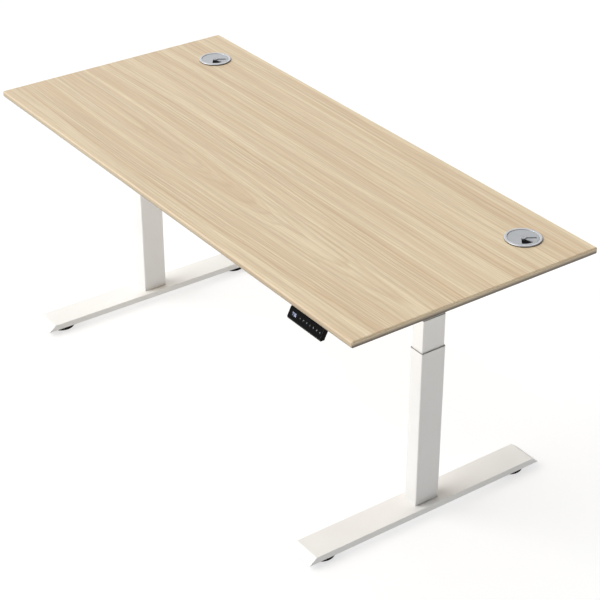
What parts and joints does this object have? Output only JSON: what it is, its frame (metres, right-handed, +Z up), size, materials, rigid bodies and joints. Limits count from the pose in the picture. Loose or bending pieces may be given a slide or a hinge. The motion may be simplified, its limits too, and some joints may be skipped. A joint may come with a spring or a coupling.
{
  "type": "height adjustable standing desk",
  "caption": "Rectangular light-wood desk on two white telescopic T-legs; the top rises and lowers by an under-top control box and a push-button handset.",
  "frame": {"origin": "on the floor, midway between the two columns and under their axes", "axes": "+X to the seated user's right along the top, +Y away from the user towards the back edge, +Z up"},
  "size_m": [1.8, 0.8214, 0.7802],
  "materials": {
    "top_laminate": "light maple laminate, satin",
    "white_steel": "white powder coat, fine texture",
    "outlet_grey": "grey plastic with a metallic lacquer",
    "black_plastic": "black moulded plastic, fine grain",
    "handset_black": "black moulded plastic, half gloss",
    "display": "dark smoked display window",
    "foot_rubber": "black rubber",
    "cable_black": "black PVC cable jacket",
    "bright_steel": "machined steel",
    "nut_bronze": "machined bronze",
    "cast_alloy": "die-cast alloy",
    "motor_black": "black painted can",
    "circuit_board": "green solder mask"
  },
  "bodies": {
    "left_base": {"foot_left": "white_steel", "outer_tube_left": "white_steel", "collar_lower_left": "black_plastic", "lead_screw_left": "bright_steel"},
    "left_mid": {"middle_tube_left": "white_steel", "collar_upper_left": "black_plastic"},
    "left_hollow": {"hollow_screw_left": "bright_steel"},
    "left_drive": {"drive_tube_left": "bright_steel"},
    "top": {"tabletop": "top_laminate", "grommet_sleeve_left": "outlet_grey", "grommet_sleeve_right": "outlet_grey", "front_rail": "white_steel", "rear_rail": "white_steel", "control_case": "black_plastic", "control_cover": "black_plastic", "control_board": "circuit_board", "mains_inlet": "black_plastic", "handset_case": "handset_black", "handset_back": "handset_black", "handset_window": "display", "handset_board": "circuit_board", "handset_cable": "cable_black", "inner_tube_left": "white_steel", "travel_nut_left": "nut_bronze", "head_bracket_left": "white_steel", "gearbox_left": "cast_alloy", "motor_left": "motor_black", "side_arm_left": "white_steel", "motor_cable_left": "cable_black", "inner_tube_right": "white_steel", "travel_nut_right": "nut_bronze", "head_bracket_right": "white_steel", "gearbox_right": "cast_alloy", "motor_right": "motor_black", "side_arm_right": "white_steel", "motor_cable_right": "cable_black"},
    "right_mid": {"middle_tube_right": "white_steel", "collar_upper_right": "black_plastic"},
    "right_hollow": {"hollow_screw_right": "bright_steel"},
    "right_drive": {"drive_tube_right": "bright_steel"},
    "right_base": {"foot_right": "white_steel", "outer_tube_right": "white_steel", "collar_lower_right": "black_plastic", "lead_screw_right": "bright_steel"},
    "glide_front_left": {"glide_front_left": "foot_rubber"},
    "glide_back_left": {"glide_back_left": "foot_rubber"},
    "lid_left": {"grommet_lid_left": "outlet_grey"},
    "flap_left": {"grommet_flap_left": "outlet_grey"},
    "glide_front_right": {"glide_front_right": "foot_rubber"},
    "glide_back_right": {"glide_back_right": "foot_rubber"},
    "lid_right": {"grommet_lid_right": "outlet_grey"},
    "flap_right": {"grommet_flap_right": "outlet_grey"},
    "key_up": {"key_up": "handset_black"},
    "key_down": {"key_down": "handset_black"},
    "key_memory": {"key_memory": "handset_black"},
    "key_1": {"key_1": "handset_black"},
    "key_2": {"key_2": "handset_black"},
    "key_3": {"key_3": "handset_black"},
    "key_4": {"key_4": "handset_black"}
  },
  "joints": [
    {"name": "lift", "type": "slide", "parent": "left_base", "child": "top", "axis": [0, 0, 1], "range_m": [-0.16, 0.49]},
    {"name": "left_mid_slide", "type": "slide", "parent": "left_base", "child": "left_mid", "axis": [0, 0, 1], "range_m": [-0.08, 0.245]},
    {"name": "right_mid_slide", "type": "slide", "parent": "top", "child": "right_mid", "axis": [0, 0, 1], "range_m": [-0.245, 0.08]},
    {"name": "right_base_slide", "type": "slide", "parent": "top", "child": "right_base", "axis": [0, 0, 1], "range_m": [-0.49, 0.16]},
    {"name": "left_drive_spin", "type": "hinge", "parent": "top", "child": "left_drive", "pos_m": [-0.718, 0, 0.48], "axis": [0, 0, 1], "range_deg": [-2880, 8820]},
    {"name": "left_hollow_spin", "type": "hinge", "parent": "left_mid", "child": "left_hollow", "pos_m": [-0.718, 0, 0.37], "axis": [0, 0, 1], "range_deg": [-2880, 8820]},
    {"name": "right_drive_spin", "type": "hinge", "parent": "top", "child": "right_drive", "pos_m": [0.718, 0, 0.48], "axis": [0, 0, 1], "range_deg": [-2880, 8820]},
    {"name": "right_hollow_spin", "type": "hinge", "parent": "right_mid", "child": "right_hollow", "pos_m": [0.718, 0, 0.37], "axis": [0, 0, 1], "range_deg": [-2880, 8820]},
    {"name": "lid_lift_left", "type": "slide", "parent": "top", "child": "lid_left", "axis": [0, 0, 1], "range_m": [0, 0.03]},
    {"name": "flap_turn_left", "type": "hinge", "parent": "lid_left", "child": "flap_left", "pos_m": [-0.7246, 0.2802, 0.776], "axis": [0, 0, 1], "range_deg": [-70, 44]},
    {"name": "lid_lift_right", "type": "slide", "parent": "top", "child": "lid_right", "axis": [0, 0, 1], "range_m": [0, 0.03]},
    {"name": "flap_turn_right", "type": "hinge", "parent": "lid_right", "child": "flap_right", "pos_m": [0.7506, 0.2828, 0.776], "axis": [0, 0, 1], "range_deg": [-70, 44]},
    {"name": "glide_front_left_height", "type": "slide", "parent": "left_base", "child": "glide_front_left", "axis": [0, 0, -1], "range_m": [0, 0.01]},
    {"name": "glide_back_left_height", "type": "slide", "parent": "left_base", "child": "glide_back_left", "axis": [0, 0, -1], "range_m": [0, 0.01]},
    {"name": "glide_front_right_height", "type": "slide", "parent": "right_base", "child": "glide_front_right", "axis": [0, 0, -1], "range_m": [0, 0.01]},
    {"name": "glide_back_right_height", "type": "slide", "parent": "right_base", "child": "glide_back_right", "axis": [0, 0, -1], "range_m": [0, 0.01]},
    {"name": "press_up", "type": "slide", "parent": "top", "child": "key_up", "axis": [0, 0.8957, -0.4446], "range_m": [0, 0.0008], "stiffness_N_per_m": 1200, "springref_m": -0.0004},
    {"name": "press_down", "type": "slide", "parent": "top", "child": "key_down", "axis": [0, 0.8957, -0.4446], "range_m": [0, 0.0008], "stiffness_N_per_m": 1200, "springref_m": -0.0004},
    {"name": "press_memory", "type": "slide", "parent": "top", "child": "key_memory", "axis": [0, 0.8957, -0.4446], "range_m": [0, 0.0008], "stiffness_N_per_m": 1200, "springref_m": -0.0004},
    {"name": "press_1", "type": "slide", "parent": "top", "child": "key_1", "axis": [0, 0.8957, -0.4446], "range_m": [0, 0.0008], "stiffness_N_per_m": 1200, "springref_m": -0.0004},
    {"name": "press_2", "type": "slide", "parent": "top", "child": "key_2", "axis": [0, 0.8957, -0.4446], "range_m": [0, 0.0008], "stiffness_N_per_m": 1200, "springref_m": -0.0004},
    {"name": "press_3", "type": "slide", "parent": "top", "child": "key_3", "axis": [0, 0.8957, -0.4446], "range_m": [0, 0.0008], "stiffness_N_per_m": 1200, "springref_m": -0.0004},
    {"name": "press_4", "type": "slide", "parent": "top", "child": "key_4", "axis": [0, 0.8957, -0.4446], "range_m": [0, 0.0008], "stiffness_N_per_m": 1200, "springref_m": -0.0004}
  ],
  "couplings": [
    {"joint": "left_mid_slide", "follows": "lift", "ratio": 0.5},
    {"joint": "right_mid_slide", "follows": "lift", "ratio": -0.5},
    {"joint": "right_base_slide", "follows": "lift", "ratio": -1},
    {"joint": "left_drive_spin", "follows": "lift", "rad_per_m": 314.16},
    {"joint": "left_hollow_spin", "follows": "lift", "rad_per_m": 314.16},
    {"joint": "right_drive_spin", "follows": "lift", "rad_per_m": 314.16},
    {"joint": "right_hollow_spin", "follows": "lift", "rad_per_m": 314.16}
  ]
}
